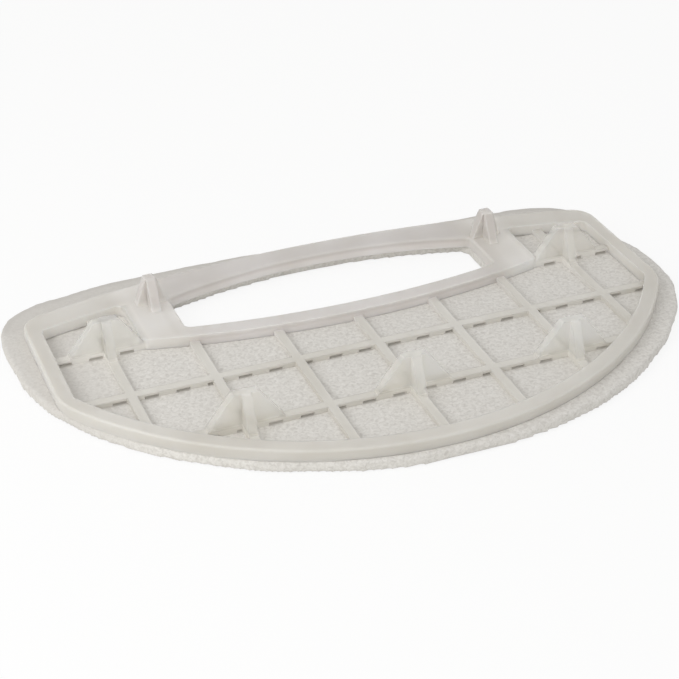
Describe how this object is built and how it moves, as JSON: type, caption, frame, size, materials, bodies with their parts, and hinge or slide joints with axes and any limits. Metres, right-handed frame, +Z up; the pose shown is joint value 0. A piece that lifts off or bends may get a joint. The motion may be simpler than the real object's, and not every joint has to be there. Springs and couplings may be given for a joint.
{
  "type": "robot vacuum filter",
  "caption": "D-shaped robot vacuum filter: a translucent moulded rib frame with a finger slot and upright standoff posts, bonded to a hand-cut sheet of needle felt.",
  "frame": {"origin": "middle of the bounding box in plan, on the under face of the felt", "axes": "+X along the straight back edge and the finger slot, +Y from the round front to the back edge, +Z up through the posts"},
  "size_m": [0.1468, 0.088, 0.0111],
  "materials": {
    "moulded_pp": "satin, slightly translucent natural polypropylene",
    "needle_felt": "needle-punched polyester felt, matte"
  },
  "bodies": {
    "root": {"moulded_frame": "moulded_pp", "filter_cloth": "needle_felt"}
  },
  "joints": []
}
